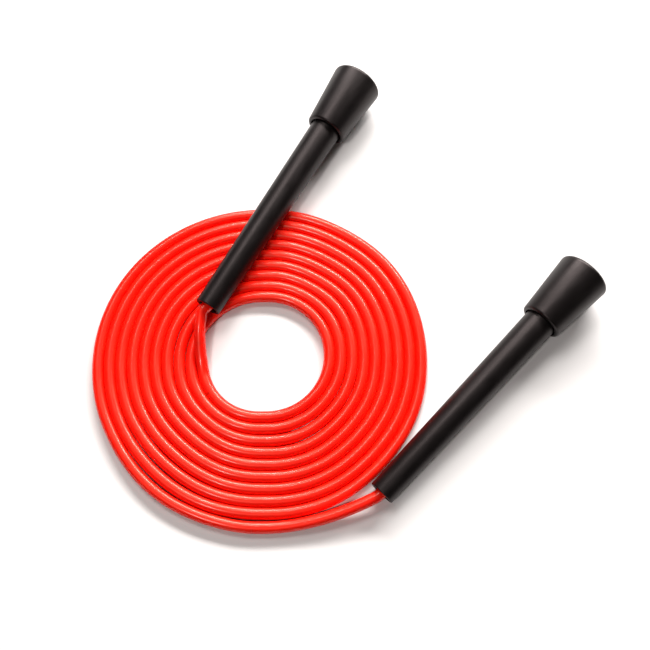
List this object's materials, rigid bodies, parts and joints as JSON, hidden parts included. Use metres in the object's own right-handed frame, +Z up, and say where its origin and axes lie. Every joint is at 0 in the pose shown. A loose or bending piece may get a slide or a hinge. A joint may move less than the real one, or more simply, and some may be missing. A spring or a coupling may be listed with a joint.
{
  "type": "jump rope",
  "caption": "Jump rope: a glossy cord wound in a flat coil, with a hollow tapered handle on each end that spins and slides on the cord",
  "frame": {"origin": "middle of the whole footprint, on the floor under the coil", "axes": "+Z up from the floor; handle A points to +Y and a little to +X from the coil's middle, handle B points to +X and +Y"},
  "size_m": [0.227, 0.2165, 0.0243],
  "materials": {
    "cord": "glossy, slightly translucent soft PVC",
    "handle": "satin moulded plastic with a fine texture",
    "plug": "satin moulded plastic",
    "bush": "smooth nylon",
    "washer": "zinc plated",
    "stopper": "crimped barrel, satin"
  },
  "bodies": {
    "coil": {"cord_coil": "cord"},
    "tail_a": {"cord_tail_a": "cord"},
    "inner_cord_a": {"cord_end_a": "cord", "cord_stopper_a": "stopper"},
    "washer_a": {"thrust_washer_a": "washer"},
    "handle_a": {"handle_tube_a": "handle", "end_cap_a": "handle", "butt_plug_a": "plug", "mouth_bush_a": "bush"},
    "tail_b": {"cord_tail_b": "cord"},
    "inner_cord_b": {"cord_end_b": "cord", "cord_stopper_b": "stopper"},
    "washer_b": {"thrust_washer_b": "washer"},
    "handle_b": {"handle_tube_b": "handle", "end_cap_b": "handle", "butt_plug_b": "plug", "mouth_bush_b": "bush"}
  },
  "joints": [
    {"name": "cord_lift_a", "type": "hinge", "parent": "coil", "child": "tail_a", "pos_m": [-0.06419, -0.04116, 0.0025], "axis": [0.9999, 0.0112, 0], "range_deg": [0, 50]},
    {"name": "cord_swing_a", "type": "hinge", "parent": "tail_a", "child": "inner_cord_a", "pos_m": [-0.06448, -0.01547, 0.01149], "axis": [0, 0, 1], "range_deg": [-40, 60]},
    {"name": "handle_slide_a", "type": "slide", "parent": "inner_cord_a", "child": "washer_a", "axis": [0.5075, 0.8616, 0.0055], "range_m": [0, 0.1]},
    {"name": "handle_spin_a", "type": "hinge", "parent": "washer_a", "child": "handle_a", "pos_m": [-0.0627, -0.01245, 0.01151], "axis": [0.5075, 0.8616, 0.0055], "continuous": true},
    {"name": "cord_lift_b", "type": "hinge", "parent": "coil", "child": "tail_b", "pos_m": [-0.03274, -0.10568, 0.0025], "axis": [0.2309, -0.973, 0], "range_deg": [0, 75]},
    {"name": "cord_swing_b", "type": "hinge", "parent": "tail_b", "child": "inner_cord_b", "pos_m": [0.01027, -0.09547, 0.00568], "axis": [0, 0, 1], "range_deg": [-70, 0]},
    {"name": "handle_slide_b", "type": "slide", "parent": "inner_cord_b", "child": "washer_b", "axis": [0.6939, 0.7185, 0.0479], "range_m": [0, 0.1]},
    {"name": "handle_spin_b", "type": "hinge", "parent": "washer_b", "child": "handle_b", "pos_m": [0.0127, -0.09295, 0.00584], "axis": [0.6939, 0.7185, 0.0479], "continuous": true}
  ]
}
